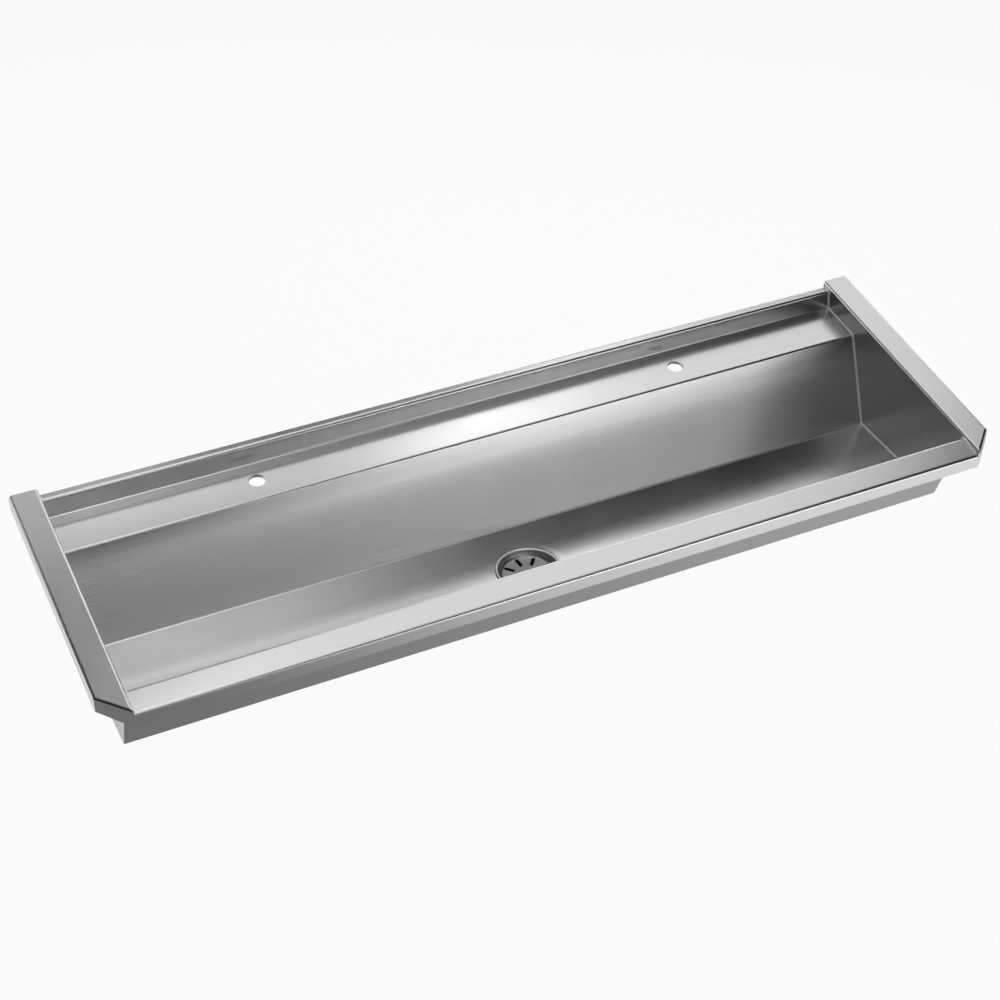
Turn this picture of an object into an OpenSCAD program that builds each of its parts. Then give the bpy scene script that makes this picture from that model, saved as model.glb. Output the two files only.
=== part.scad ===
// Wall-hung wash trough for two users, folded from stainless sheet, with a slotted waste.
// X runs along the trough, Y = 0 is the wall and the user stands at -Y, Z is up.
// The origin is the middle of the four wall fixings, on the wall.

/* [Overall] */
// Length over both end panels
trough_l = 1200; // [1000:10:2400]
// Height of the end panels' tops above the middle of the wall fixings
top_above_fixings = 145; // [132:1:170]

/* [Sheet] */
// Thickness of the folded sheet
sheet_t = 1.5; // [1:0.1:2.5]
// Inside radius of the folds
fold_r = 2.5; // [2.2:0.1:4]

/* [Rear rim and ledge] */
// Depth of the flat rear rim from the wall
rear_rim_w = 14.5; // [12:0.5:30]
// How far the rear rim lies below the end panels' tops
rear_rim_drop = 8.5; // [5:0.5:14]
// Height of the return that lies against the wall
wall_return_h = 22; // [10:1:30]
// Height of the upstand above the ledge
upstand_h = 26.5; // [20:0.5:40]
// How far the upstand leans forward from top to foot
upstand_lean = 2.5; // [1:0.5:6]
// Depth of the tap ledge
ledge_w = 65; // [60:1:100]
// Fall of the tap ledge towards the bowl
ledge_fall = 6.5; // [3:0.5:10]

/* [Bowl] */
// Height of the rear wall
rear_wall_h = 122; // [110:1:150]
// How far the rear wall runs forward from top to foot
rear_wall_run = 46; // [30:1:60]
// Depth of the flat floor
floor_w = 174.5; // [160:0.5:240]
// Height of the front wall
front_wall_h = 120; // [100:1:130]
// How far the front wall runs forward from foot to top
front_wall_run = 42.5; // [30:0.5:60]

/* [Front rim] */
// Depth of the front rim
front_rim_w = 35; // [25:0.5:50]
// Fall of the front rim towards the user
front_rim_fall = 6.2; // [2:0.2:9]
// Height of the lip folded down at the front
front_lip_h = 18.3; // [12:0.1:30]

/* [End panels] */
// Width of the end flange
end_flange_w = 36.5; // [30:0.5:60]
// Height of the end flange above the front rim's inner edge
front_step = 4.5; // [4:0.1:8]
// Height of the lip round the end flange
end_lip_h = 21; // [14:0.5:24]
// Size of the 45 degree cut across the front corner
corner_cut = 34; // [20:0.5:34]
// Width of the weld bead where the shell meets the end panel
weld_w = 1.6; // [1:0.1:2.1]

/* [Tap holes] */
// Distance of a tap hole from the nearer end of the trough
tap_inset = 300; // [200:10:420]
// Diameter of a tap hole
tap_hole_d = 22; // [20:0.5:36]
// Length of the stiffening plate under a tap hole
tap_plate_l = 70; // [50:1:100]
// Width of the stiffening plate
tap_plate_w = 50; // [44:1:52]
// Thickness of the stiffening plate
tap_plate_t = 3; // [2:0.5:5]
// Corner radius of the stiffening plate
tap_plate_r = 6; // [2:0.5:12]

/* [Waste] */
// Distance of the waste's axis from the wall
waste_from_wall = 217; // [205:1:225]
// Diameter of the waste's flange
waste_flange_d = 87; // [86:0.5:95]
// Height of the flange's rounded rim above the floor
waste_crest_h = 1.2; // [0.8:0.1:1.4]
// Width of the rounded rim
waste_rim_w = 4.6; // [4.4:0.1:5]
// How far the dish's wall leans in from the rim to the disc
dish_lean = 1; // [0.5:0.1:2]
// Depth of the slotted disc below the floor
dish_depth = 9; // [8.6:0.1:11]
// Radius between the dish's wall and the disc
dish_r = 7; // [4:0.5:7]
// Thickness of the slotted disc
disc_t = 2; // [1.5:0.1:4]
// Number of slots
slot_count = 9; // [5:1:9]
// Turn of the first slot from the trough's length
slot_turn = 13; // [0:1:39]
// Distance of a slot's inner end from the middle
slot_in_r = 18.5; // [14:0.5:20]
// Distance of a slot's outer end from the middle
slot_out_r = 34.5; // [30:0.5:35]
// Width of a slot
slot_w = 5; // [3:0.5:6]
// Wall of the cup where it leaves the flange
cup_wall_t = 1.2; // [1:0.1:1.5]
// Depth of the cup below the slotted disc
cup_h = 4; // [4:0.5:8]
// Outer diameter of the neck below the cup
neck_d = 66; // [65:0.5:68]
// Outer diameter of the thread that the backnut turns on
clamp_thread_d = 62; // [60.5:0.5:64]
// Outer diameter of the outlet thread
outlet_thread_d = 59.6; // [58:0.1:60]
// Length of the outlet thread below the backnut
outlet_l = 16.5; // [10:0.5:30]
// Bore of the outlet
outlet_bore_d = 53; // [45:0.5:55]
// Thickness of the seal under the flange
seal_t = 0.8; // [0.8:0.1:1.2]
// Outer diameter of the gasket and the clamp washer
gasket_d = 94; // [92:1:98]
// Thickness of the gasket
gasket_t = 3; // [2:0.5:4]
// Thickness of the cupped clamp washer
clamp_t = 2; // [1:0.5:2.5]
// Inside radius of the clamp washer's bends
clamp_fold_r = 1; // [0.5:0.5:2]
// Height of the backnut
backnut_h = 10; // [6:1:16]
// Width of the backnut across its flats
backnut_af = 78; // [72:1:90]

/* [Pressed recess] */
// Depth of the pressed recess for the waste
recess_depth = 0.8; // [0.6:0.1:1.4]
// Radius at which the recess leaves the floor
recess_r = 54; // [52:0.5:60]
// Bending radius of the recess's edges
recess_fold_r = 30; // [3:1:30]
// Radius of the flat seat in the recess
seat_r = 46.5; // [46:0.5:47.5]

/* [Sound pads] */
// Length of a sound pad
pad_l = 240; // [150:5:260]
// Width of a sound pad
pad_w = 120; // [80:5:150]
// Thickness of a sound pad
pad_t = 3; // [2:0.5:5]

/* [Wall brackets] */
// Distance of a wall fixing from the nearer end of the trough
fixing_inset = 180; // [120:10:200]
// Distance between the upper and lower wall fixings
fixing_rise = 120; // [100:1:130]
// Diameter of a wall fixing hole
fixing_hole_d = 11; // [7:0.5:14]
// Thickness of the bracket plate
bracket_t = 3; // [2:0.5:4]
// Inside radius of the bracket's folds
bracket_fold_r = 3; // [2:0.5:5]
// Width of the bracket's folded flanges
bracket_w = 38; // [34:1:50]
// Distance of the bracket's head below the foot of the upstand
bracket_drop = 13; // [10:1:16]
// Metal below the lower fixing hole's centre
bracket_foot = 23; // [15:1:40]
// Depth of the arm's tip below its folded seat
arm_tip_h = 20; // [17:1:30]
// Distance of the arm's tip from the front edge of the floor
arm_setback = 35; // [20:1:60]
// Diameter of the lightening hole
lightening_d = 52; // [30:1:60]
// Thickness of the rubber strips on the bracket's seats
strip_t = 2; // [1:0.5:4]
// Length of the seat under the ledge
ledge_seat_l = 50; // [40:1:54]

/* [Studs] */
// Diameter of a weld stud
stud_d = 8; // [6:0.5:8]
// Length of a weld stud
stud_l = 22; // [18:1:30]
// Thickness of a washer
washer_t = 1.6; // [1:0.1:2]
// Outer diameter of a washer
washer_d = 16; // [14:0.5:18]
// Height of a nut
nut_h = 6.5; // [5:0.5:8]
// Width of a nut across its flats
nut_af = 13; // [12:0.5:15]

/* [Hidden] */
$fn = 96;

// How far every cut runs past the metal
overrun = 5;
// Radial clearance in a thread
thread_gap = 0.1;
// Radial clearance where one piece passes through another
pass_gap = 0.5;
// Small step that keeps two faces of the folded corner from lying exactly in one plane
corner_relief = 0.02;
// Flat stretches in one fold
fold_steps = 8;
// Angle of the cut across the front corner
mitre = 45;

steel = [0.76, 0.76, 0.75];
bright_steel = [0.82, 0.82, 0.81];
zinc = [0.70, 0.71, 0.72];
brass = [0.78, 0.64, 0.34];
rubber = [0.12, 0.12, 0.12];
bitumen = [0.20, 0.20, 0.21];

// Levels and distances of the section, from the wall and the fixings
top_z = top_above_fixings;
rim_z = top_z - rear_rim_drop;
foot_z = rim_z - upstand_h;
ledge_z = foot_z - ledge_fall;
floor_z = ledge_z - rear_wall_h;
front_z = floor_z + front_wall_h;
lip_z = front_z - front_rim_fall;
lip_foot_z = lip_z - front_lip_h;
under_z = floor_z - sheet_t;
foot_y = -rear_rim_w - upstand_lean;
ledge_y = foot_y - ledge_w;
floor_rear_y = ledge_y - rear_wall_run;
floor_front_y = floor_rear_y - floor_w;
front_y = floor_front_y - front_wall_run;
lip_y = front_y - front_rim_w;
wall_x = trough_l / 2 - end_flange_w;

// Corners of the shell's visible face, from the wall return to the front lip
section = [
    [0, rim_z - wall_return_h],
    [0, rim_z],
    [-rear_rim_w, rim_z],
    [foot_y, foot_z],
    [ledge_y, ledge_z],
    [floor_rear_y, floor_z],
    [floor_front_y, floor_z],
    [front_y, front_z],
    [lip_y, lip_z],
    [lip_y, lip_foot_z]
];
// Which corner of the section joins the floor to the front wall
floor_front_corner = 6;

// Folded sheet. A path runs along one face, with the metal on the left of its direction.
function unit(v) = v / norm(v);
function left_of(v) = [-v[1], v[0]];
function heading(path, i) = unit(path[i + 1] - path[i]);
function turn(path, i) =
    let (a = heading(path, i - 1), b = heading(path, i))
    atan2(a[0] * b[1] - a[1] * b[0], a * b);
// Points round the fold at corner i, on the face that lies depth into the sheet
function fold_points(path, i, r, t, depth) =
    let (
        bend = turn(path, i),
        side = sign(bend),
        h = heading(path, i - 1),
        path_r = side > 0 ? r + t : r,
        centre = path[i] - h * path_r * tan(abs(bend) / 2) + left_of(h) * side * path_r,
        start = atan2(-side * left_of(h)[1], -side * left_of(h)[0]),
        face_r = path_r - side * depth
    )
    [for (k = [0 : fold_steps])
        let (a = start + bend * k / fold_steps) centre + face_r * [cos(a), sin(a)]];
function face(path, r, t, depth) = [
    path[0] + depth * left_of(heading(path, 0)),
    for (i = [1 : len(path) - 2]) each fold_points(path, i, r, t, depth),
    path[len(path) - 1] + depth * left_of(heading(path, len(path) - 2))
];
function reversed(list) = [for (i = [len(list) - 1 : -1 : 0]) list[i]];
function folded(path, r, t) = concat(face(path, r, t, 0), reversed(face(path, r, t, t)));

// Draws a Y, Z outline and gives it a length along X
module along_x(length) {
    rotate([90, 0, 90]) linear_extrude(length, center = true) children();
}

// Places children on the ledge's face at x, in the middle of its depth and square to it
ledge_slope = atan(ledge_fall / ledge_w);
tap_x = trough_l / 2 - tap_inset;
tap_y = foot_y - ledge_w / 2;
tap_z = foot_z - ledge_fall / 2;
module on_ledge(x) {
    translate([x, tap_y, tap_z]) rotate([ledge_slope, 0, 0]) children();
}

// Places children at the waste's axis, with zero height at the floor
module at_waste() {
    translate([0, -waste_from_wall, floor_z]) children();
}

// Trough shell: one sheet, folded eight times and pressed round the waste
cup_r = waste_flange_d / 2 - waste_rim_w + cup_wall_t;
waste_hole_r = cup_r + pass_gap;
recess_brim = 8;
module waste_recess() {
    brim_r = recess_r + recess_brim;
    difference() {
        children();
        at_waste() cylinder(r = (brim_r + recess_r) / 2, h = 2 * overrun, center = true);
    }
    at_waste() rotate_extrude()
        polygon(folded([[brim_r, 0], [recess_r, 0], [seat_r, -recess_depth],
                        [waste_hole_r, -recess_depth]], recess_fold_r, sheet_t));
}
module trough_shell() {
    color(steel) difference() {
        waste_recess() along_x(2 * wall_x) polygon(folded(section, fold_r, sheet_t));
        for (side = [-1, 1])
            on_ledge(side * tap_x)
                cylinder(d = tap_hole_d, h = 2 * overrun, center = true);
    }
}

// End panel: a folded cap with a sloping flange and a cut corner, and the end wall
end_slope = atan((top_z - front_z - front_step) / -front_y);
corner_y = lip_y + corner_cut;
corner_rise = atan(tan(end_slope) * sin(mitre));
corner_lean = asin(sin(end_slope) * sin(mitre));
// Height of the cap's legs, which the masks trim
cap_leg = 3 * end_lip_h;
// How far the end wall's top edge lies below the flange
wall_lap = 2 * (fold_r + sheet_t);
function flange_z(y) = top_z + y * tan(end_slope);
module cap_block(depth) {
    path = [[trough_l / 2, -cap_leg], [trough_l / 2, 0], [wall_x, 0], [wall_x, -cap_leg]];
    translate([0, 0, top_z]) rotate([end_slope, 0, 0]) translate([0, overrun, 0])
        rotate([90, 0, 0]) linear_extrude(-lip_y / cos(end_slope) + 2 * overrun)
            polygon(face(path, fold_r, sheet_t, depth));
}
module corner_block(depth) {
    reach = -lip_y;
    path = [[0, -cap_leg], [0, 0], [-reach * cos(corner_lean), reach * sin(corner_lean)]];
    translate([trough_l / 2, corner_y, flange_z(corner_y) + corner_relief])
        rotate([0, 0, -mitre]) rotate([corner_rise, 0, 0])
            rotate([90, 0, 0]) linear_extrude(2 * reach, center = true)
                polygon(concat(face(path, fold_r, sheet_t, depth), [[-reach, -cap_leg]]));
}
module plan_block(depth) {
    reach = -lip_y;
    path = [[trough_l / 2 - reach, corner_y - reach - corner_relief],
            [trough_l / 2, corner_y - corner_relief], [trough_l / 2, overrun]];
    translate([0, 0, -2 * top_z]) linear_extrude(4 * top_z)
        polygon(concat(face(path, fold_r, sheet_t, depth), [[trough_l / 2 - reach, overrun]]));
}
module lip_mask() {
    translate([trough_l / 2, 0, 0]) along_x(2 * end_flange_w)
        polygon([
            [0, top_z + overrun],
            [lip_y, top_z + overrun],
            [lip_y, lip_foot_z],
            [corner_y, flange_z(corner_y) - end_lip_h],
            [0, top_z - end_lip_h]
        ]);
}
module end_wall() {
    bottom = fold_points(section, floor_front_corner, fold_r, sheet_t, sheet_t);
    tangent = bottom[fold_steps];
    wall_foot_y = tangent[0] - (lip_foot_z - tangent[1]) * front_wall_run / front_wall_h;
    translate([wall_x + sheet_t / 2, 0, 0]) along_x(sheet_t)
        polygon(concat(
            [[0, top_z - wall_lap], [lip_y, flange_z(lip_y) - wall_lap]],
            [[lip_y, lip_foot_z], [wall_foot_y, lip_foot_z]],
            reversed(bottom),
            [[0, under_z]]
        ));
}
module end_panel() {
    color(steel) {
        difference() {
            intersection() {
                cap_block(0);
                corner_block(0);
                plan_block(0);
                lip_mask();
            }
            intersection() {
                cap_block(sheet_t);
                corner_block(sheet_t);
                plan_block(sheet_t);
            }
        }
        end_wall();
    }
}
module right_end_panel() { end_panel(); }
module left_end_panel() { mirror([1, 0, 0]) end_panel(); }

// End weld: a bead in the corner between the shell's face and the end wall
weld_bulge_share = 0.6;
shell_face = face(section, fold_r, sheet_t, 0);
weld_line = [for (i = [fold_steps + 1 : len(shell_face) - fold_steps - 2]) shell_face[i]];
function weld_ring(k) =
    let (
        last = len(weld_line) - 1,
        p = weld_line[k],
        n = -left_of(unit(weld_line[min(k + 1, last)] - weld_line[max(k - 1, 0)]))
    )
    [for (c = [[0, 0], [0, 1], [weld_bulge_share, weld_bulge_share], [1, 0]])
        [wall_x - c[0] * weld_w, p[0] + c[1] * weld_w * n[0], p[1] + c[1] * weld_w * n[1]]];
module end_weld() {
    rings = [for (k = [0 : len(weld_line) - 1]) weld_ring(k)];
    m = len(rings[0]);
    last = (len(rings) - 1) * m;
    color(bright_steel) polyhedron(
        points = [for (ring = rings) each ring],
        faces = concat(
            [[for (j = [0 : m - 1]) j]],
            [for (k = [0 : len(rings) - 2], j = [0 : m - 1])
                [k * m + j, (k + 1) * m + j, (k + 1) * m + (j + 1) % m, k * m + (j + 1) % m]],
            [[for (j = [m - 1 : -1 : 0]) last + j]]
        )
    );
}
module right_end_weld() { end_weld(); }
module left_end_weld() { mirror([1, 0, 0]) end_weld(); }

// Tap plate: a stiffening plate welded under the ledge round each tap hole
module rounded_rectangle(l, w, r) {
    square([l - 2 * r, w], center = true);
    square([l, w - 2 * r], center = true);
    for (sx = [-1, 1], sy = [-1, 1]) translate([sx * (l / 2 - r), sy * (w / 2 - r)]) circle(r);
}
module tap_plate(side) {
    color(steel) on_ledge(side * tap_x) translate([0, 0, -sheet_t - tap_plate_t])
        linear_extrude(tap_plate_t) difference() {
            rounded_rectangle(tap_plate_l, tap_plate_w, tap_plate_r);
            circle(d = tap_hole_d);
        }
}
module left_tap_plate() { tap_plate(-1); }
module right_tap_plate() { tap_plate(1); }

// Sound pad: a damping sheet stuck under the floor, between the waste and the bracket
bracket_x = trough_l / 2 - fixing_inset;
bracket_in_x = bracket_x - bracket_w / 2;
pad_x = (gasket_d / 2 + bracket_in_x) / 2;
pad_corner_r = tap_plate_r;
module sound_pad(side) {
    color(bitumen)
        translate([side * pad_x, (floor_rear_y + floor_front_y) / 2, under_z - pad_t])
            linear_extrude(pad_t) rounded_rectangle(pad_l, pad_w, pad_corner_r);
}
module left_sound_pad() { sound_pad(-1); }
module right_sound_pad() { sound_pad(1); }

// Waste: heights count from the floor's face, down the stack that the backnut clamps
flange_r = waste_flange_d / 2;
flange_under = seal_t - recess_depth;
disc_under = -dish_depth - disc_t;
cup_under = disc_under - cup_h;
gasket_top = -recess_depth - sheet_t;
gasket_under = gasket_top - gasket_t;
clamp_under = cup_under - pass_gap - clamp_t;
neck_under = clamp_under + pass_gap / 2;
backnut_under = clamp_under - backnut_h;
clamp_thread_under = backnut_under - pass_gap;
outlet_under = clamp_thread_under - outlet_l;
chamber_r = slot_out_r + pass_gap;
chamber_foot = disc_under - (chamber_r - outlet_bore_d / 2);
rim_r = waste_rim_w / 2;
rim_centre = [flange_r - rim_r, waste_crest_h - rim_r];
dish_corner = [flange_r - waste_rim_w - dish_lean, -dish_depth];
rim_wrap = 90 + asin(rim_r / norm(rim_centre - dish_corner))
    + atan2(rim_centre[1] - dish_corner[1], rim_centre[0] - dish_corner[0]);
// Angle at which the rim's round starts, where it meets the flange's underside
rim_foot = asin((flange_under - rim_centre[1]) / rim_r);
rim_steps = 24;
function rim_point(a) = rim_centre + rim_r * [cos(a), sin(a)];
module waste_body() {
    color(bright_steel) at_waste() difference() {
        rotate_extrude() polygon(concat(
            [[0, disc_under], [0, -dish_depth]],
            fold_points([[0, -dish_depth], dish_corner, rim_point(rim_wrap)], 1, dish_r, 0, 0),
            [for (k = [rim_steps : -1 : 0])
                rim_point(rim_foot + (rim_wrap - rim_foot) * k / rim_steps)],
            [[cup_r, flange_under], [cup_r, cup_under]],
            [[neck_d / 2, cup_under], [neck_d / 2, neck_under], [clamp_thread_d / 2, neck_under]],
            [[clamp_thread_d / 2, clamp_thread_under], [outlet_thread_d / 2, clamp_thread_under]],
            [[outlet_thread_d / 2, outlet_under], [outlet_bore_d / 2, outlet_under]],
            [[outlet_bore_d / 2, chamber_foot], [chamber_r, disc_under]]
        ));
        for (k = [0 : slot_count - 1]) rotate(slot_turn + k * 360 / slot_count)
            translate([0, 0, disc_under - thread_gap])
                linear_extrude(disc_t + dish_r) slot_outline();
    }
}
module slot_outline() {
    translate([slot_in_r + slot_w / 2, -slot_w / 2])
        square([slot_out_r - slot_in_r - slot_w, slot_w]);
    for (r = [slot_in_r + slot_w / 2, slot_out_r - slot_w / 2]) translate([r, 0]) circle(d = slot_w);
}
module ring(outer_r, inner_r, low, high) {
    translate([0, 0, low]) linear_extrude(high - low) difference() {
        circle(outer_r);
        circle(inner_r);
    }
}
module waste_seal() {
    color(rubber) at_waste() ring(flange_r - pass_gap, waste_hole_r, -recess_depth, flange_under);
}
module waste_gasket() {
    color(rubber) at_waste() ring(gasket_d / 2, waste_hole_r, gasket_under, gasket_top);
}
module waste_clamp_washer() {
    wall_r = cup_r + pass_gap;
    seat_low = cup_under - pass_gap;
    color(zinc) at_waste() rotate_extrude() polygon(folded(
        [[gasket_d / 2, gasket_under], [wall_r, gasket_under],
         [wall_r, seat_low], [neck_d / 2 + pass_gap, seat_low]],
        clamp_fold_r, clamp_t));
}
module hexagon(across_flats) {
    circle(d = across_flats / cos(30), $fn = 6);
}
module waste_backnut() {
    color(brass) at_waste() translate([0, 0, backnut_under]) linear_extrude(backnut_h)
        difference() {
            hexagon(backnut_af);
            circle(clamp_thread_d / 2 + thread_gap);
        }
}

// Wall bracket: one plate, with flanges folded to the wall, the ledge and the floor
web_x = bracket_x + bracket_w / 2;
bracket_top_z = foot_z - bracket_drop;
bracket_low_z = -fixing_rise / 2 - bracket_foot;
// Height of the short web that each folded flange carries, and how far the plate laps it
flange_leg = 2.5 * (bracket_fold_r + bracket_t);
web_lap = 1.5 * (bracket_fold_r + bracket_t);
web_clear = bracket_t;
seat_z = under_z - strip_t;
arm_tip_y = floor_front_y + arm_setback;
seat_rear_y = floor_rear_y - 2 * (bracket_fold_r + bracket_t);
seat_l = seat_rear_y - arm_tip_y;
ledge_seat_end_y = tap_y - ledge_seat_l / 2;
web_top_z = tap_z - (tap_y - ledge_seat_end_y) * tan(ledge_slope) - sheet_t - strip_t - web_lap;
arm_top_z = seat_z - web_lap;
// Rear wall's back face, moved back by the web's clearance
function web_edge_y(z) =
    ledge_y - (ledge_z - z) * rear_wall_run / rear_wall_h
    + (sheet_t + web_clear) * norm([rear_wall_h, rear_wall_run]) / rear_wall_h;
module folded_angle(length, web_h) {
    path = [[web_x, -web_h], [web_x, 0], [web_x - bracket_w, 0]];
    linear_extrude(length) polygon(folded(path, bracket_fold_r, bracket_t));
}
module bracket_web() {
    translate([web_x - bracket_t / 2, 0, 0]) along_x(bracket_t) difference() {
        polygon([
            [-web_lap, bracket_top_z],
            [ledge_seat_end_y, web_top_z],
            [web_edge_y(web_top_z), web_top_z],
            [web_edge_y(arm_top_z), arm_top_z],
            [arm_tip_y, arm_top_z],
            [arm_tip_y, seat_z - arm_tip_h],
            [-web_lap, bracket_low_z]
        ]);
        translate([web_edge_y(0) / 2, 0]) circle(d = lightening_d);
    }
}
// Places children at each stud of one bracket, with zero height under the sheet
stud_inset = 3 * (bracket_fold_r + bracket_t);
module at_studs() {
    for (y = [seat_rear_y - stud_inset, arm_tip_y + stud_inset])
        translate([bracket_x, y, under_z]) children();
    on_ledge(bracket_x) translate([0, 0, -sheet_t]) children();
}
module bracket() {
    color(steel) difference() {
        union() {
            bracket_web();
            translate([0, 0, bracket_low_z]) folded_angle(bracket_top_z - bracket_low_z, flange_leg);
            translate([0, seat_rear_y, seat_z]) rotate([90, 0, 0]) folded_angle(seat_l, flange_leg);
            on_ledge(0) translate([0, ledge_seat_l / 2, -sheet_t - strip_t]) rotate([90, 0, 0])
                folded_angle(ledge_seat_l, flange_leg);
        }
        for (z = [-fixing_rise / 2, fixing_rise / 2])
            translate([bracket_x, 0, z]) rotate([90, 0, 0])
                cylinder(d = fixing_hole_d, h = 2 * (bracket_t + overrun), center = true);
        at_studs() translate([0, 0, -strip_t - bracket_t / 2])
            cylinder(d = stud_d + 2 * pass_gap, h = bracket_t + overrun / 2, center = true);
    }
}
module right_bracket() { bracket(); }
module left_bracket() { mirror([1, 0, 0]) bracket(); }

// Bracket strips: rubber between the bracket's seats and the bowl
strip_w = bracket_w - bracket_fold_r - bracket_t;
module bracket_strips() {
    color(rubber) difference() {
        union() {
            translate([web_x - bracket_w, arm_tip_y, seat_z]) cube([strip_w, seat_l, strip_t]);
            on_ledge(web_x - bracket_w) translate([0, -ledge_seat_l / 2, -sheet_t - strip_t])
                cube([strip_w, ledge_seat_l, strip_t]);
        }
        at_studs() cylinder(d = stud_d + 2 * pass_gap, h = 2 * (strip_t + pass_gap), center = true);
    }
}
module right_bracket_strips() { bracket_strips(); }
module left_bracket_strips() { mirror([1, 0, 0]) bracket_strips(); }

// Studs, washers and nuts: three of each hold the bowl to one bracket
washer_top = -strip_t - bracket_t;
module studs() {
    color(steel) at_studs() translate([0, 0, -stud_l]) cylinder(d = stud_d, h = stud_l);
}
module washers() {
    color(zinc) at_studs()
        ring(washer_d / 2, stud_d / 2 + pass_gap / 2, washer_top - washer_t, washer_top);
}
module nuts() {
    color(zinc) at_studs() translate([0, 0, washer_top - washer_t - nut_h]) linear_extrude(nut_h)
        difference() {
            hexagon(nut_af);
            circle(stud_d / 2 + thread_gap);
        }
}
module right_studs() { studs(); }
module left_studs() { mirror([1, 0, 0]) studs(); }
module right_washers() { washers(); }
module left_washers() { mirror([1, 0, 0]) washers(); }
module right_nuts() { nuts(); }
module left_nuts() { mirror([1, 0, 0]) nuts(); }

trough_shell();
left_end_panel();
right_end_panel();
left_end_weld();
right_end_weld();
left_tap_plate();
right_tap_plate();
left_sound_pad();
right_sound_pad();
waste_body();
waste_seal();
waste_gasket();
waste_clamp_washer();
waste_backnut();
left_bracket();
right_bracket();
left_bracket_strips();
right_bracket_strips();
left_studs();
right_studs();
left_washers();
right_washers();
left_nuts();
right_nuts();
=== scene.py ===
import math

import bmesh
import bpy
from mathutils import Matrix, Vector, noise


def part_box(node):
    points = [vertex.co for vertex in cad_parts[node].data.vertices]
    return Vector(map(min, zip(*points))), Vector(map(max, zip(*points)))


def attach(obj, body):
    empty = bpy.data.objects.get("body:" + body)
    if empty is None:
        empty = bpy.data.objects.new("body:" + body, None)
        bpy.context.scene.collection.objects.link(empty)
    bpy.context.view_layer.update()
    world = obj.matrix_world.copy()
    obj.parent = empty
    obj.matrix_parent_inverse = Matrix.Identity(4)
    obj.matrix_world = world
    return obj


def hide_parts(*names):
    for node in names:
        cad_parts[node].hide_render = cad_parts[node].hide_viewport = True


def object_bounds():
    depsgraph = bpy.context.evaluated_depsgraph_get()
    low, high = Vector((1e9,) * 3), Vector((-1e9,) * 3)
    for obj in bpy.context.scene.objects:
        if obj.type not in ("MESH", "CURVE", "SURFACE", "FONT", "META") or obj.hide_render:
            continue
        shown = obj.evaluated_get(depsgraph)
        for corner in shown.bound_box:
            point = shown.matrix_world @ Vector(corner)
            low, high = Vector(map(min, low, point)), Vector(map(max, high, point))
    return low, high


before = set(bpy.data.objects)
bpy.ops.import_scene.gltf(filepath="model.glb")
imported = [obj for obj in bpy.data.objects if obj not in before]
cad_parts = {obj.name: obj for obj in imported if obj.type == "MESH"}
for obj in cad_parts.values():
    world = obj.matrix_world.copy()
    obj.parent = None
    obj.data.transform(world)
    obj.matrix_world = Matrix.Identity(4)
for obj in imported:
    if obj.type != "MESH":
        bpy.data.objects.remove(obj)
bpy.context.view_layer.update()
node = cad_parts


# Trough shell. One stainless sheet, folded along its length into rim, upstand, ledge, bowl
# and lip. The mill brushed it along the coil, so the grain runs with the folds.
SHEET_COLOUR = (0.606, 0.60, 0.60)
SHEET_ROUGHNESS = 0.24
ALONG_X = (0.004, 1, 1)
ALONG_Y = (1, 0.004, 1)
FINE_SCRATCHES = 2600
COARSE_SCRATCHES = 700
COARSE_SHARE = 0.5
SCRATCH_SHADE = 0.20
SCRATCH_ROUGHER = 0.06
SCRATCH_HEIGHT = 0.0001
CLOUD_SCALE = 9
CLOUD_SHADE = 0.06
CLOUD_ROUGHER = 0.10


def feed(tree, socket, value):
    """Gives a socket another node's output, or a plain value."""
    if isinstance(value, bpy.types.NodeSocket):
        tree.links.new(value, socket)
    else:
        socket.default_value = value


def math_node(tree, operation, *values, kind="ShaderNodeMath"):
    made = tree.nodes.new(kind)
    made.operation = operation
    for socket, value in zip(made.inputs, values):
        feed(tree, socket, value)
    return made.outputs[0]


def vector_node(tree, operation, *values):
    return math_node(tree, operation, *values, kind="ShaderNodeVectorMath")


def noise_node(tree, vector, scale, detail):
    texture = tree.nodes.new("ShaderNodeTexNoise")
    tree.links.new(vector, texture.inputs["Vector"])
    feed(tree, texture.inputs["Scale"], scale)
    texture.inputs["Detail"].default_value = detail
    return texture.outputs["Fac"]


def finish_group(name, inputs, outputs):
    """An empty node group with its sockets: the group, what it is given and what it puts out."""
    tree = bpy.data.node_groups.new(name, "ShaderNodeTree")
    for socket, kind in inputs.items():
        tree.interface.new_socket(socket, in_out="INPUT", socket_type=kind)
    for socket in outputs:
        tree.interface.new_socket(socket, in_out="OUTPUT", socket_type="NodeSocketFloat")
    given = tree.nodes.new("NodeGroupInput")
    result = tree.nodes.new("NodeGroupOutput")
    return tree, given.outputs, result.inputs


def finish_node(tree, finish, vector):
    """Places a finish's node group in a material, fed with a place on the piece."""
    placed = tree.nodes.new("ShaderNodeGroup")
    placed.node_tree = finish
    tree.links.new(vector, placed.inputs["Vector"])
    return placed


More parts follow.
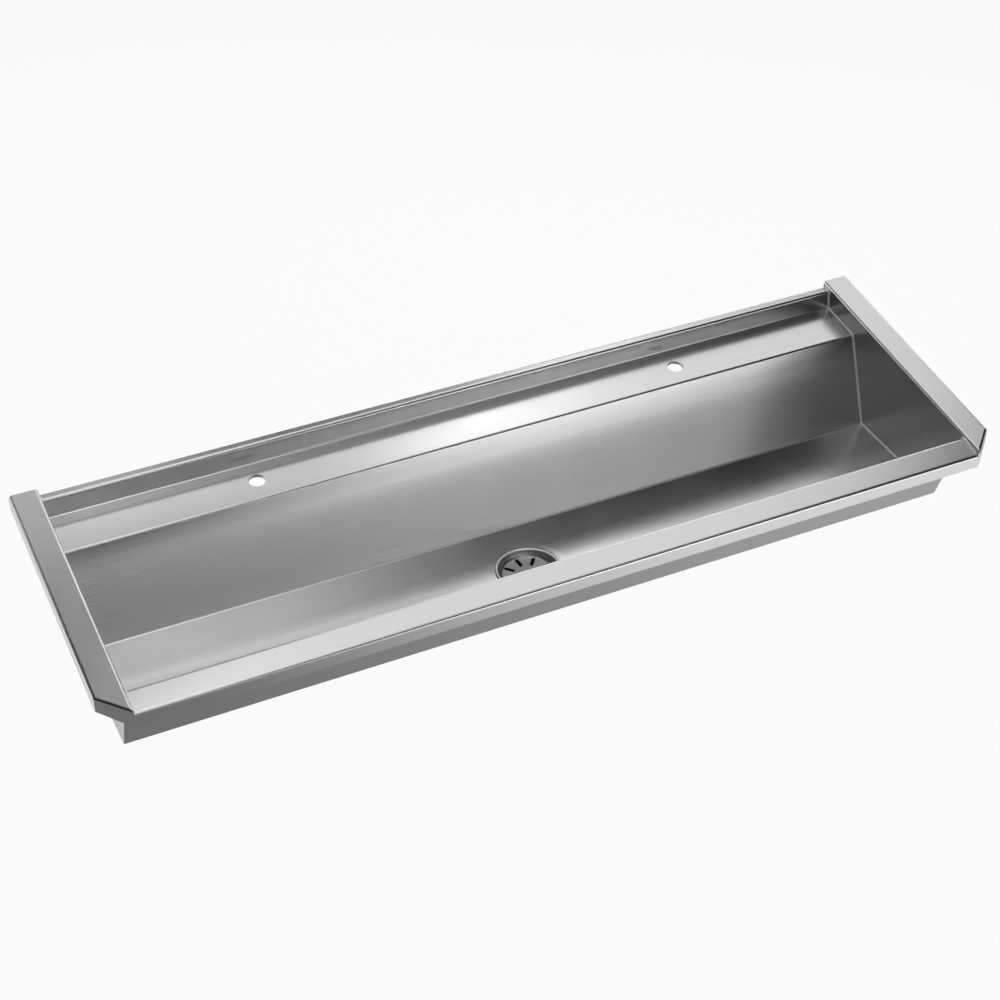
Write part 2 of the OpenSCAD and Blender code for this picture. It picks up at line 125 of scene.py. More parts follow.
def brushed_grain():
    """Fine scratches along one axis over a slow cloudiness: a shade, a roughness and a height."""
    inputs = {"Vector": "NodeSocketVector", "Stretch": "NodeSocketVector", "Roughness": "NodeSocketFloat"}
    tree, given, result = finish_group("brushed_grain", inputs, ("Shade", "Roughness", "Height"))
    stretched = vector_node(tree, "MULTIPLY", given["Vector"], given["Stretch"])
    fine = noise_node(tree, stretched, FINE_SCRATCHES, detail=2)
    coarse = noise_node(tree, stretched, COARSE_SCRATCHES, detail=1)
    cloud = noise_node(tree, given["Vector"], CLOUD_SCALE, detail=3)
    both = math_node(tree, "MULTIPLY_ADD", coarse, COARSE_SHARE, fine)
    centred = math_node(tree, "SUBTRACT", both, (1 + COARSE_SHARE) / 2)
    slow = math_node(tree, "SUBTRACT", cloud, 0.5)
    shade = math_node(tree, "MULTIPLY_ADD", centred, SCRATCH_SHADE, 1.0)
    shade = math_node(tree, "MULTIPLY_ADD", slow, CLOUD_SHADE, shade)
    rough = math_node(tree, "MULTIPLY_ADD", slow, CLOUD_ROUGHER, given["Roughness"])
    rough = math_node(tree, "MULTIPLY_ADD", centred, SCRATCH_ROUGHER, rough)
    tree.links.new(shade, result["Shade"])
    tree.links.new(rough, result["Roughness"])
    tree.links.new(centred, result["Height"])
    return tree


GRAIN = brushed_grain()


def new_material(name, metallic):
    """A material with its tree and its shader."""
    material = bpy.data.materials.new(name)
    material.use_nodes = True
    shader = material.node_tree.nodes["Principled BSDF"]
    shader.inputs["Metallic"].default_value = metallic
    return material, material.node_tree, shader


def tinted(tree, colour, shade):
    """A colour made lighter and darker by a shade round 1."""
    tint = tree.nodes.new("ShaderNodeVectorMath")
    tint.operation = "SCALE"
    tint.inputs[0].default_value = colour
    tree.links.new(shade, tint.inputs["Scale"])
    return tint.outputs[0]


def add_relief(tree, height, strength, distance):
    """Shows a height as a slight relief in the shader's normal."""
    relief = tree.nodes.new("ShaderNodeBump")
    relief.inputs["Strength"].default_value = strength
    relief.inputs["Distance"].default_value = distance
    tree.links.new(height, relief.inputs["Height"])
    tree.links.new(relief.outputs[0], tree.nodes["Principled BSDF"].inputs["Normal"])


def brushed_steel(name, colour, roughness, stretch, tangent, anisotropy=0.5, relief=0.02, metallic=1.0):
    material, tree, shader = new_material(name, metallic)
    shader.inputs["Anisotropic"].default_value = anisotropy
    place = tree.nodes.new("ShaderNodeTexCoord")
    grain = finish_node(tree, GRAIN, place.outputs["Object"])
    grain.inputs["Stretch"].default_value = stretch
    grain.inputs["Roughness"].default_value = roughness
    tree.links.new(tinted(tree, colour, grain.outputs["Shade"]), shader.inputs["Base Color"])
    tree.links.new(grain.outputs["Roughness"], shader.inputs["Roughness"])
    add_relief(tree, grain.outputs["Height"], relief, SCRATCH_HEIGHT)
    along = tree.nodes.new("ShaderNodeCombineXYZ")
    for socket, value in zip(along.inputs, tangent):
        socket.default_value = value
    tree.links.new(along.outputs[0], shader.inputs["Tangent"])
    return material


shell_steel = brushed_steel("shell_steel", SHEET_COLOUR, SHEET_ROUGHNESS, stretch=ALONG_X, tangent=(1, 0, 0))
node["trough_shell"].active_material = shell_steel


# End panels. Each is a sheet folded down all round, with its front corner cut off at 45
# degrees, and welded to a flat end wall. Both were brushed from the wall to the front.
end_steel = brushed_steel("end_steel", SHEET_COLOUR, SHEET_ROUGHNESS, stretch=ALONG_Y, tangent=(0, 1, 0))
for side in ("left", "right"):
    node[side + "_end_panel"].active_material = end_steel


# End welds. A bead of stainless filler, run by hand round the section where the shell meets
# each end wall. It was left as laid, with a blob wherever the run stopped, and is pale partly as pickled
# filler and partly as a painted highlight.
WELD_CUT = 0.0025
WELD_FULL = 0.0005
WELD_RIPPLE = 0.00035
WELD_WAVES = 330
WELD_FINE_WAVES = 900
WELD_FINE_SHARE = 0.6
WELD_BLOB = 0.0009
WELD_BLOB_REACH = 0.003
WELD_STOPS = ((-0.0145, 0.1365), (-0.017, 0.110), (-0.082, 0.1035), (-0.128, -0.0185), (-0.345, 0.1015))
SAME_POINT = 1e-6
SLIVER = 5e-5


def merged_copy(name):
    """A bmesh of a node's mesh, with its loose triangles joined."""
    shape = bmesh.new()
    shape.from_mesh(node[name].data)
    bmesh.ops.remove_doubles(shape, verts=shape.verts, dist=SAME_POINT)
    return shape


def new_piece(name, shape, material, replaced):
    """Makes a smooth object of a bmesh and puts it in place of a node."""
    mesh = bpy.data.meshes.new(name)
    shape.to_mesh(mesh)
    shape.free()
    mesh.shade_smooth()
    mesh.materials.append(material)
    piece = bpy.data.objects.new(name, mesh)
    bpy.context.scene.collection.objects.link(piece)
    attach(piece, "root")
    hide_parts(replaced)
    return piece


def weld_bead(name):
    """The weld's copy, cut into short lengths and swollen by a ripple and by blobs."""
    bead = merged_copy(name)
    low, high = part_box(name)
    for axis in (1, 2):
        normal = Vector((0, axis == 1, axis == 2))
        for i in range(1, int((high[axis] - low[axis]) / WELD_CUT)):
            geometry = bead.verts[:] + bead.edges[:] + bead.faces[:]
            bmesh.ops.bisect_plane(bead, geom=geometry, dist=SAME_POINT,
                                   plane_co=normal * (low[axis] + i * WELD_CUT), plane_no=normal)
    bmesh.ops.remove_doubles(bead, verts=bead.verts, dist=SLIVER)
    bmesh.ops.recalc_face_normals(bead, faces=bead.faces)
    bead.normal_update()
    moves = []
    for vert in bead.verts:
        ripple = noise.noise(vert.co * WELD_WAVES) + WELD_FINE_SHARE * noise.noise(vert.co * WELD_FINE_WAVES)
        swell = WELD_FULL + WELD_RIPPLE * ripple
        for y, z in WELD_STOPS:
            away = math.hypot(vert.co.y - y, vert.co.z - z) / WELD_BLOB_REACH
            swell += WELD_BLOB * math.exp(-away * away)
        moves.append(vert.normal * swell)
    for vert, move in zip(bead.verts, moves):
        vert.co += move
    return bead


# Pale and only partly metallic, so the lamps light the bead brightly: partly pickled filler, partly a painted
# highlight.
weld_steel = brushed_steel("weld_steel", colour=(0.95, 0.95, 0.95), roughness=0.25, stretch=(0.3, 0.3, 0.3),
                           tangent=(1, 0, 0), anisotropy=0.0, relief=0.1, metallic=0.25)
for side in ("left", "right"):
    weld = side + "_end_weld"
    new_piece(weld + "_bead", weld_bead(weld), weld_steel, weld)


# Tap plates and brackets. Mill-finish stainless plate, cut, folded and left grey. The plates
# are stitched under the ledge, and the brackets are bolted to the wall and to the bowl.
mill_steel = brushed_steel("mill_steel", colour=(0.58, 0.58, 0.58), roughness=0.36, stretch=(0.02, 1, 1),
                           tangent=(1, 0, 0), anisotropy=0.2)
for side in ("left", "right"):
    for part in ("_tap_plate", "_bracket"):
        node[side + part].active_material = mill_steel


# Sound pads and rubber strips. Bitumen sheet rolled on under the floor, and extruded rubber
# that keeps the brackets from ringing against the bowl.
GRIT_FINER = 18.0
GRIT_SHARE = 0.5
MOTTLE_ROUGHER = 0.2
MOTTLE_HEIGHT = 0.0003


def mottle():
    """A slow mottle over a fine grit: a shade round 1, a roughness shift and a height."""
    inputs = {"Vector": "NodeSocketVector", "Scale": "NodeSocketFloat", "Contrast": "NodeSocketFloat"}
    tree, given, result = finish_group("mottle", inputs, ("Shade", "Shift", "Height"))
    grit_scale = math_node(tree, "MULTIPLY", given["Scale"], GRIT_FINER)
    patches = noise_node(tree, given["Vector"], given["Scale"], detail=4)
    grit = noise_node(tree, given["Vector"], grit_scale, detail=2)
    slow = math_node(tree, "SUBTRACT", patches, 0.5)
    fast = math_node(tree, "SUBTRACT", grit, 0.5)
    both = math_node(tree, "MULTIPLY_ADD", fast, GRIT_SHARE, slow)
    shade = math_node(tree, "MULTIPLY_ADD", both, given["Contrast"], 1.0)
    tree.links.new(shade, result["Shade"])
    tree.links.new(math_node(tree, "MULTIPLY", both, MOTTLE_ROUGHER), result["Shift"])
    tree.links.new(fast, result["Height"])
    return tree


MOTTLE = mottle()


def mottled(name, colour, roughness, metallic, scale, contrast, relief):
    material, tree, shader = new_material(name, metallic)
    place = tree.nodes.new("ShaderNodeTexCoord")
    spots = finish_node(tree, MOTTLE, place.outputs["Object"])
    spots.inputs["Scale"].default_value = scale
    spots.inputs["Contrast"].default_value = contrast
    tree.links.new(tinted(tree, colour, spots.outputs["Shade"]), shader.inputs["Base Color"])
    rough = math_node(tree, "ADD", spots.outputs["Shift"], roughness)
    tree.links.new(rough, shader.inputs["Roughness"])
    add_relief(tree, spots.outputs["Height"], relief, MOTTLE_HEIGHT)
    return material


bitumen = mottled("bitumen", colour=(0.030, 0.030, 0.033), roughness=0.75, metallic=0.0, scale=90,
                  contrast=0.9, relief=0.6)
rubber = mottled("rubber", colour=(0.022, 0.022, 0.022), roughness=0.55, metallic=0.0, scale=160,
                 contrast=0.5, relief=0.25)
for side in ("left", "right"):
    node[side + "_sound_pad"].active_material = bitumen
    node[side + "_bracket_strips"].active_material = rubber


# Waste. A pressed and turned flange with nine slots, with lathe rings, and a tail with a pipe thread. Its
# colour is set light as painted light on the rim and dish, its disc gets painted shade, and its inside is
# painted near black as shade and made rougher.
RINGS = 1100
RING_SLOPE = 0.7
RING_SHADE = 0.5
RING_ROUGHER = 0.25
RING_HEIGHT = 0.0002
RING_RELIEF = 0.12
RING_ANISOTROPY = 0.4
DISC_R = 0.036
DISC_END_R = 0.039
DISC_SHADE = 0.45
DISC_UNDER_Z = -0.0294
INSIDE_WIDE_R = 0.0356
INSIDE_BORE_R = 0.0272
INSIDE_ROUGHER = 0.4
OUTLET_R = 0.0298
OUTLET_TOP_Z = -0.0465
OUTLET_PITCH = 0.002309
OUTLET_STEPS = 48
THREAD_DEPTH = 0.0012
NEAR_OUTLET = 1e-4
RIDGE_HALF_SHARE = 0.42
RIDGE_FOOT_SHARE = 1.5
SAME_CORNER = 1e-7
SHARP_DEGREES = 28
waste_low, waste_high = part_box("waste_body")
WASTE_AXIS = Vector(((waste_low[0] + waste_high[0]) / 2, (waste_low[1] + waste_high[1]) / 2, 0))


def turned_rings():
    """Lathe rings round the Z axis: the radius, a shade round 1, a roughness shift and a height."""
    outputs = ("Radius", "Shade", "Shift", "Height")
    tree, given, result = finish_group("turned_rings", {"Vector": "NodeSocketVector"}, outputs)
    parts = tree.nodes.new("ShaderNodeSeparateXYZ")
    tree.links.new(given["Vector"], parts.inputs[0])
    x, y, z = parts.outputs
    squares = math_node(tree, "MULTIPLY_ADD", y, y, math_node(tree, "MULTIPLY", x, x))
    radius = math_node(tree, "SQRT", squares)
    rings = tree.nodes.new("ShaderNodeTexNoise")
    rings.noise_dimensions = "1D"
    rings.inputs["Scale"].default_value = RINGS
    rings.inputs["Detail"].default_value = 3
    tree.links.new(math_node(tree, "MULTIPLY_ADD", z, RING_SLOPE, radius), rings.inputs["W"])
    centred = math_node(tree, "SUBTRACT", rings.outputs["Fac"], 0.5)
    tree.links.new(radius, result["Radius"])
    tree.links.new(math_node(tree, "MULTIPLY_ADD", centred, RING_SHADE, 1.0), result["Shade"])
    tree.links.new(math_node(tree, "MULTIPLY", centred, RING_ROUGHER), result["Shift"])
    tree.links.new(centred, result["Height"])
    return tree


TURNED = turned_rings()


def from_waste_axis(tree):
    """The place on a piece, measured from the waste's axis."""
    place = tree.nodes.new("ShaderNodeTexCoord")
    centre = tree.nodes.new("ShaderNodeMapping")
    centre.inputs["Location"].default_value = -WASTE_AXIS
    tree.links.new(place.outputs["Object"], centre.inputs["Vector"])
    return centre.outputs[0]


def ramp_node(tree, value, **limits):
    """A ramp of a value, whose ends are from_min, from_max, to_min and to_max."""
    ramp = tree.nodes.new("ShaderNodeMapRange")
    tree.links.new(value, ramp.inputs["Value"])
    for name, limit in limits.items():
        ramp.inputs[name.replace("_", " ").title()].default_value = limit
    return ramp


def dull_disc(tree, rings):
    """The rings' shade, with painted shade on the disc, which is darker than the dish and the rim round it.
    """
    ramp = ramp_node(tree, rings.outputs["Radius"], from_min=DISC_R, from_max=DISC_END_R, to_min=DISC_SHADE)
    return math_node(tree, "MULTIPLY", rings.outputs["Shade"], ramp.outputs["Result"])


def hollow_mask(tree, centre, rings):
    """Where the painted shade goes: 1 within the cone and the bore below the disc, and 0 elsewhere."""
    parts = tree.nodes.new("ShaderNodeSeparateXYZ")
    tree.links.new(centre, parts.inputs[0])
    cone = math_node(tree, "ADD", parts.outputs["Z"], INSIDE_WIDE_R - DISC_UNDER_Z)
    wall = math_node(tree, "MAXIMUM", cone, INSIDE_BORE_R)
    within = math_node(tree, "LESS_THAN", rings.outputs["Radius"], wall)
    below = math_node(tree, "LESS_THAN", parts.outputs["Z"], DISC_UNDER_Z)
    return math_node(tree, "MULTIPLY", within, below)


def turned_metal(name, colour, roughness, inside=None):
    """Metal with lathe rings. With inside, the hollow is painted that colour as shade and the disc gets
    painted shade.
    """
    material, tree, shader = new_material(name, metallic=1.0)
    shader.inputs["Anisotropic"].default_value = RING_ANISOTROPY
    centre = from_waste_axis(tree)
    rings = finish_node(tree, TURNED, centre)
    shade = dull_disc(tree, rings) if inside else rings.outputs["Shade"]
    shown = tinted(tree, colour, shade)
    rough = math_node(tree, "ADD", rings.outputs["Shift"], roughness)
    if inside:
        hollow = hollow_mask(tree, centre, rings)
        choose = tree.nodes.new("ShaderNodeMix")
        choose.data_type = "RGBA"
        choose.inputs["B"].default_value = (*inside, 1)
        tree.links.new(hollow, choose.inputs["Factor"])
        tree.links.new(shown, choose.inputs["A"])
        shown = choose.outputs["Result"]
        rough = math_node(tree, "MULTIPLY_ADD", hollow, INSIDE_ROUGHER, rough)
    tree.links.new(shown, shader.inputs["Base Color"])
    tree.links.new(rough, shader.inputs["Roughness"])
    add_relief(tree, rings.outputs["Height"], RING_RELIEF, RING_HEIGHT)
    tree.links.new(vector_node(tree, "CROSS_PRODUCT", (0, 0, 1), centre), shader.inputs["Tangent"])
    return material


def turned_piece(name, shape, material, replaced):
    """A new piece with its normals out, and with sharp edges where its faces turn."""
    bmesh.ops.remove_doubles(shape, verts=shape.verts, dist=SAME_CORNER)
    bmesh.ops.recalc_face_normals(shape, faces=shape.faces)
    piece = new_piece(name, shape, material, replaced)
    piece.data.set_sharp_from_angle(angle=math.radians(SHARP_DEGREES))


def add_thread(shape, radius, depth, pitch, low, high, steps):
    """A V ridge wound up the Z axis by a spin that rises one pitch a turn."""
    half = pitch * RIDGE_HALF_SHARE
    start = low + half
    corners = [shape.verts.new((r, 0, z)) for r, z in
               ((radius - depth, start - half), (radius, start), (radius - depth, start + half),
                (radius - RIDGE_FOOT_SHARE * depth, start))]
    profile = shape.faces.new(corners)
    turns = (high - low - 2 * half) / pitch
    count = int(turns * steps)
    bmesh.ops.spin(shape, geom=[profile] + profile.edges[:] + corners, cent=(0, 0, 0), axis=(0, 0, 1),
                   dvec=(0, 0, pitch / steps), angle=2 * math.pi * count / steps, steps=count,
                   use_merge=False, use_duplicate=False)


waste = merged_copy("waste_body")
bmesh.ops.translate(waste, verts=waste.verts, vec=-WASTE_AXIS)
for vert in waste.verts:
    out = math.hypot(vert.co.x, vert.co.y)
    if vert.co.z < OUTLET_TOP_Z + NEAR_OUTLET and abs(out - OUTLET_R) < NEAR_OUTLET:
        vert.co.xy *= (OUTLET_R - THREAD_DEPTH) / out
add_thread(waste, OUTLET_R, THREAD_DEPTH, OUTLET_PITCH, waste_low[2], OUTLET_TOP_Z, OUTLET_STEPS)
bmesh.ops.translate(waste, verts=waste.verts, vec=WASTE_AXIS)
# A light colour, as painted light on the rim and dish wall, and near black in the hollow as painted shade.
waste_steel = turned_metal("waste_steel", colour=(0.85, 0.85, 0.85), roughness=0.40,
                           inside=(0.02, 0.02, 0.02))
turned_piece("waste_turned", waste, waste_steel, "waste_body")


# Step round the waste. The floor was pressed down a little round the hole and brushed over
# again, which softened the step, so the shell's steel shows only a share of its slope.
STEP_R = 0.054
STEP_END_R = 0.058
STEP_SHOWN = 0.2


def soften_step(tree):
    """Levels the normal within the step, and leaves it as it is beyond."""
    rings = finish_node(tree, TURNED, from_waste_axis(tree))
    kept = ramp_node(tree, rings.outputs["Radius"], from_min=STEP_R, from_max=STEP_END_R, to_min=STEP_SHOWN)
    share = tree.nodes.new("ShaderNodeCombineXYZ")
    share.inputs["Z"].default_value = 1
    for axis in "XY":
        tree.links.new(kept.outputs["Result"], share.inputs[axis])
    surface = tree.nodes.new("ShaderNodeNewGeometry")
    softened = vector_node(tree, "MULTIPLY", surface.outputs["Normal"], share.outputs[0])
    tree.links.new(vector_node(tree, "NORMALIZE", softened), tree.nodes["Bump"].inputs["Normal"])


soften_step(shell_steel.node_tree)


# Waste seal, gasket, clamp washer and backnut. Rubber rings lie above and below the floor. A
# cupped washer in bright zinc and a brass nut, cut from hexagon bar, pull the waste down.
NUT_ACROSS = 0.078
NUT_BORE_R = 0.0311
NUT_CHAMFER = 0.0006
NUT_STEPS = 60
CROWN_SHARE = 0.97
CROWN_DROP_SHARE = 0.55


def hex_nut(shape, across, bore_r, height, chamfer):
    """A turned ring with both rims chamfered, then its six flats cut off."""
    corner_r = across / 2 / math.cos(math.radians(30))
    crown_r = across / 2 * CROWN_SHARE
    drop = (corner_r - crown_r) * CROWN_DROP_SHARE
    outline = ((bore_r, chamfer), (bore_r + chamfer, 0), (crown_r, 0), (corner_r, drop),
               (corner_r, height - drop), (crown_r, height), (bore_r + chamfer, height),
               (bore_r, height - chamfer))
    points = [shape.verts.new((r, 0, z)) for r, z in outline]
    rim = [shape.edges.new((a, b)) for a, b in zip(points, points[1:] + points[:1])]
    bmesh.ops.spin(shape, geom=points + rim, cent=(0, 0, 0), axis=(0, 0, 1), dvec=(0, 0, 0),
                   angle=2 * math.pi, steps=NUT_STEPS, use_merge=True, use_duplicate=False)
    bmesh.ops.remove_doubles(shape, verts=shape.verts, dist=SAME_CORNER)
    for k in range(6):
        flat = Vector((math.sin(math.radians(60 * k)), math.cos(math.radians(60 * k)), 0))
        geometry = shape.verts[:] + shape.edges[:] + shape.faces[:]
        cut = bmesh.ops.bisect_plane(shape, geom=geometry, dist=SAME_CORNER, plane_co=flat * across / 2,
                                     plane_no=flat, clear_outer=True)
        edges = [part for part in cut["geom_cut"] if isinstance(part, bmesh.types.BMEdge)]
        bmesh.ops.holes_fill(shape, edges=edges, sides=0)


nut_low, nut_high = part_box("waste_backnut")
backnut = bmesh.new()
hex_nut(backnut, NUT_ACROSS, NUT_BORE_R, nut_high[2] - nut_low[2], NUT_CHAMFER)
bmesh.ops.translate(backnut, verts=backnut.verts, vec=WASTE_AXIS + Vector((0, 0, nut_low[2])))
brass = turned_metal("brass", colour=(0.70, 0.52, 0.25), roughness=0.3)
turned_piece("backnut_cut", backnut, brass, "waste_backnut")
zinc = mottled("zinc", colour=(0.62, 0.64, 0.66), roughness=0.32, metallic=1.0, scale=220, contrast=0.25,
               relief=0.15)
node["waste_clamp_washer"].active_material = zinc
for part in ("waste_seal", "waste_gasket"):
    node[part].active_material = rubber


# Studs, washers and nuts. On each side, three M8 studs are welded under the ledge and the
# floor, and a zinc-plated washer and nut on each of them hold the bracket.
STUD_R = 0.004
STUD_PITCH = 0.00125
STUD_DEPTH = 0.0007
STUD_CHAMFER = 0.0008
STUD_STEPS = 24
BOLT_NUT_ACROSS = 0.013
BOLT_NUT_PLAY = 0.0001
BOLT_NUT_CHAMFER = 0.0004


def seats(name):
    """The foot, the direction and the length of each solid of a group, from its lowest face up."""
    solids = merged_copy(name)
    left, found = set(solids.verts), []
    for start in solids.verts:
        if start not in left:
            continue
        left.remove(start)
        reached = [start]
        for vert in reached:
            for edge in vert.link_edges:
                other = edge.other_vert(vert)
                if other in left:
                    left.remove(other)
                    reached.append(other)
        middle = sum((vert.co for vert in reached), Vector()) / len(reached)
        lower = [vert.co for vert in reached if vert.co.z < middle.z]
        upper = [vert.co for vert in reached if vert.co.z >= middle.z]
        foot = sum(lower, Vector()) / len(lower)
        head = sum(upper, Vector()) / len(upper)
        found.append((foot, (head - foot).normalized(), (head - foot).length))
    solids.free()
    return sorted(found, key=lambda seat: tuple(seat[0]))


def at_seats(name, make):
    """Makes one shape at each seat of a group, in one bmesh."""
    group = bmesh.new()
    for foot, up, length in seats(name):
        one = bmesh.new()
        make(one, length)
        turn = Vector((0, 0, 1)).rotation_difference(up).to_matrix().to_4x4()
        bmesh.ops.transform(one, matrix=Matrix.Translation(foot) @ turn, verts=one.verts)
        mesh = bpy.data.meshes.new("one")
        one.to_mesh(mesh)
        one.free()
        group.from_mesh(mesh)
        bpy.data.meshes.remove(mesh)
    return group


def stud(shape, length):
    root_r = STUD_R - STUD_DEPTH
    outline = ((0, 0), (root_r - STUD_CHAMFER, 0), (root_r, STUD_CHAMFER), (root_r, length), (0, length))
    points = [shape.verts.new((r, 0, z)) for r, z in outline]
    edges = [shape.edges.new(pair) for pair in zip(points, points[1:])]
    bmesh.ops.spin(shape, geom=points + edges, cent=(0, 0, 0), axis=(0, 0, 1), dvec=(0, 0, 0),
                   angle=2 * math.pi, steps=STUD_STEPS, use_merge=True, use_duplicate=False)
    bmesh.ops.remove_doubles(shape, verts=shape.verts, dist=SAME_CORNER)
    add_thread(shape, STUD_R, STUD_DEPTH, STUD_PITCH, STUD_CHAMFER, length, STUD_STEPS)


def bolt_nut(shape, length):
    hex_nut(shape, BOLT_NUT_ACROSS, STUD_R + BOLT_NUT_PLAY, length, BOLT_NUT_CHAMFER)


for side in ("left", "right"):
    studs, nuts = side + "_studs", side + "_nuts"
    turned_piece(side + "_threaded_studs", at_seats(studs, stud), mill_steel, studs)
    turned_piece(side + "_cut_nuts", at_seats(nuts, bolt_nut), zinc, nuts)
    node[side + "_washers"].active_material = zinc


# Floor. Painted white, and well below the trough, which hangs on a wall. The steel's reflections see a glow
# painted on it: painted shadow in front of the left end and under the trough, and painted light elsewhere.
# Its underside is clear, so a view from below passes through it.
FLOOR_DROP = 0.70
FLOOR_HALF = 12
FLOOR_WHITE = 0.9
FLOOR_ROUGHNESS = 0.9
# FLOOR_DIM, FLOOR_SHADED and FLOOR_BRIGHT are levels of the glow painted on the floor: painted shadow,
# painted shade under the trough and painted light.
FLOOR_DIM = 0.24
FLOOR_SHADED = 0.55
FLOOR_BRIGHT = 1.2
FLOOR_SEEN = 0.93
FLOOR_MIRRORED = 0.9


def fade(tree, along, start, end, low, high):
    """A smooth change from low to high along one axis of the floor."""
    ramp = ramp_node(tree, along, from_min=start, from_max=end, to_min=low, to_max=high)
    ramp.interpolation_type = "SMOOTHSTEP"
    return ramp.outputs["Result"]


def mirrored_floor(tree):
    """The glow painted on the floor for the steel: painted shadow under and in front of the trough, painted
    light elsewhere.
    """
    place = tree.nodes.new("ShaderNodeTexCoord")
    parts = tree.nodes.new("ShaderNodeSeparateXYZ")
    tree.links.new(place.outputs["Object"], parts.inputs[0])
    x, y = parts.outputs["X"], parts.outputs["Y"]
    ahead = fade(tree, x, start=-0.35, end=0.9, low=FLOOR_DIM, high=FLOOR_BRIGHT)
    under = fade(tree, x, start=-0.6, end=1.0, low=FLOOR_DIM, high=FLOOR_SHADED)
    in_front = fade(tree, y, start=-1.0, end=-0.75, low=1, high=0)
    across = math_node(tree, "MULTIPLY_ADD", math_node(tree, "SUBTRACT", ahead, under), in_front, under)
    left = fade(tree, x, start=-0.9, end=-0.6, low=1, high=0)
    behind = fade(tree, y, start=-0.5, end=0.1, low=0, high=1)
    behind_left = math_node(tree, "MULTIPLY", left, behind)
    return math_node(tree, "MAXIMUM", across, math_node(tree, "MULTIPLY", behind_left, FLOOR_BRIGHT))


def blended(tree, share, first, second):
    """A blend of two shaders, by the share of the second."""
    blend = tree.nodes.new("ShaderNodeMixShader")
    for socket, output in zip(blend.inputs, (share, first.outputs[0], second.outputs[0])):
        tree.links.new(output, socket)
    return blend


def floor_paint():
    material, tree, paint = new_material("floor_paint", metallic=0.0)
    paint.inputs["Base Color"].default_value = (FLOOR_WHITE, FLOOR_WHITE, FLOOR_WHITE, 1)
    paint.inputs["Roughness"].default_value = FLOOR_ROUGHNESS
    rays = tree.nodes.new("ShaderNodeLightPath")
    to_camera, to_steel = rays.outputs["Is Camera Ray"], rays.outputs["Is Glossy Ray"]
    white = tree.nodes.new("ShaderNodeEmission")
    # The steel's reflections see the floor's painted glow: painted shadow and painted light.
    reflected = math_node(tree, "MULTIPLY", to_steel, mirrored_floor(tree))
    tree.links.new(math_node(tree, "ADD", to_camera, reflected), white.inputs["Strength"])
    seen = math_node(tree, "MULTIPLY", to_camera, FLOOR_SEEN)
    shown = math_node(tree, "MULTIPLY", to_steel, FLOOR_MIRRORED)
    top = blended(tree, math_node(tree, "MAXIMUM", seen, shown), paint, white)
    sides = tree.nodes.new("ShaderNodeNewGeometry")
    clear = tree.nodes.new("ShaderNodeBsdfTransparent")
    both = blended(tree, sides.outputs["Backfacing"], top, clear)
    tree.links.new(both.outputs[0], tree.nodes["Material Output"].inputs["Surface"])
    return material


lowest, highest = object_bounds()
floor_mesh = bpy.data.meshes.new("floor")
sheet = bmesh.new()
bmesh.ops.create_grid(sheet, x_segments=1, y_segments=1, size=FLOOR_HALF)
bmesh.ops.translate(sheet, verts=sheet.verts, vec=(0, 0, lowest[2] - FLOOR_DROP))
sheet.to_mesh(floor_mesh)
sheet.free()
floor = bpy.data.objects.new("floor", floor_mesh)
bpy.context.scene.collection.objects.link(floor)
floor.active_material = floor_paint()


# Studio. A dim room with soft boxes hung round the trough, the way bright metal is lit: the
# sheets show the boxes as broad streaks and the dark gaps between them as grey bands.
# Each box is written as bearing from the wall, height angle, half width, half height, level.
ROOM_LEVEL = 0.02
BOX_DISTANCE = 3.0
SOFT_BOXES = {
    "rear_key": (43, 51, 15, 22, 1.1),
    "rear_core": (27, 41, 4, 7, 1.4),
    "rear_upper": (-3, 47, 15, 3, 1.6),
    "rear_rim": (10, 41, 9, 3, 0.4),
    "rear_strip": (-1, 19, 4, 22, 0.8),
    "rear_low": (36, 15, 27, 5, 3.9),
    "rear_left": (-39, 12, 12, 8, 2.3),
    "rear_left_high": (-34, 32, 12, 9, 0.25),
    "front_right_low": (134, 1, 30, 11, 1.2),
    "front_right": (160, 10, 10, 4, 3.1),
    "top": (-18, 85, 11, 19, 1.6),
    "top_front": (-165, 70, 34, 5, 0.8),
    "front_strip": (-178, 43, 3, 28, 2.3),
}
world = bpy.data.worlds.new("studio")
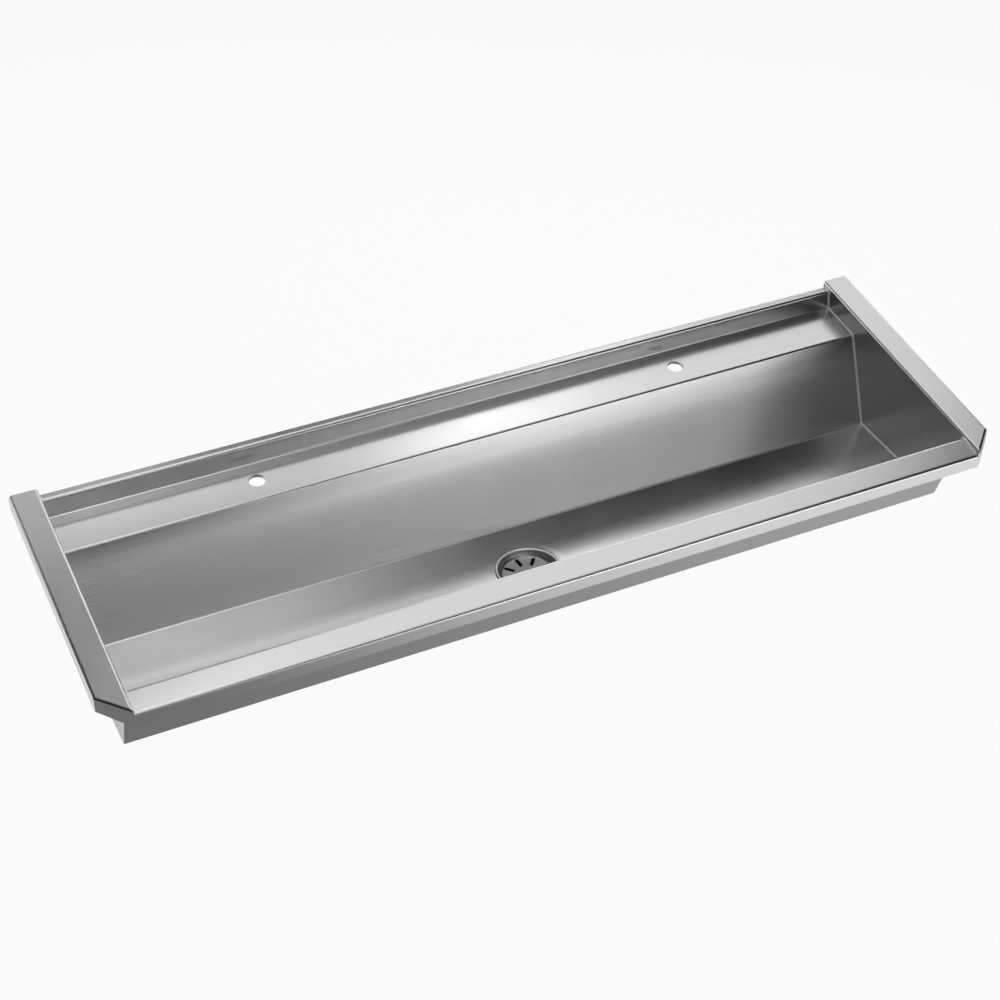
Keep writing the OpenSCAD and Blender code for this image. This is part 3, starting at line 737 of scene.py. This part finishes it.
bpy.context.scene.world = world
world.use_nodes = True
tree = world.node_tree
room = tree.nodes["Background"]
room.inputs["Color"].default_value = (1, 1, 1, 1)
rays = tree.nodes.new("ShaderNodeLightPath")
tree.links.new(math_node(tree, "MAXIMUM", rays.outputs["Is Camera Ray"], ROOM_LEVEL), room.inputs["Strength"])
lit_point = Vector([(low + high) / 2 for low, high in zip(lowest, highest)])
for name, (bearing, height, half_width, half_height, level) in SOFT_BOXES.items():
    lamp_data = bpy.data.lights.new(name, "AREA")
    lamp_data.shape = "RECTANGLE"
    lamp_data.size = 2 * BOX_DISTANCE * math.tan(math.radians(half_width))
    lamp_data.size_y = 2 * BOX_DISTANCE * math.tan(math.radians(half_height))
    lamp_data.energy = level * math.pi * lamp_data.size * lamp_data.size_y
    lamp = bpy.data.objects.new(name, lamp_data)
    aside = Matrix.Rotation(math.radians(-bearing), 4, "Z")
    turn = aside @ Matrix.Rotation(math.radians(height - 90), 4, "X")
    lamp.matrix_world = Matrix.Translation(lit_point) @ turn @ Matrix.Translation((0, 0, BOX_DISTANCE))
    lamp.visible_camera = False
    bpy.context.scene.collection.objects.link(lamp)
bpy.context.scene.view_settings.view_transform = "Standard"


# Camera. A long lens above and in front of the trough's left half. Its height is counted
# from the top of the end panels.
LENS_MM = 74.379
SENSOR_MM = 36
YAW_DEGREES = 25.058
PITCH_DEGREES = 38.004
CAMERA_X = -0.897887
CAMERA_Y = -2.05063
CAMERA_RISE = 1.544692
CAMERA_REACH = 50
panel_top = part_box("left_end_panel")[1][2]
camera_data = bpy.data.cameras.new("camera")
camera_data.lens = LENS_MM
camera_data.sensor_width = SENSOR_MM
camera_data.clip_end = CAMERA_REACH
camera = bpy.data.objects.new("camera", camera_data)
camera.location = (CAMERA_X, CAMERA_Y, panel_top + CAMERA_RISE)
camera.rotation_euler = (math.radians(90 - PITCH_DEGREES), 0, -math.radians(YAW_DEGREES))
bpy.context.scene.collection.objects.link(camera)
bpy.context.scene.camera = camera
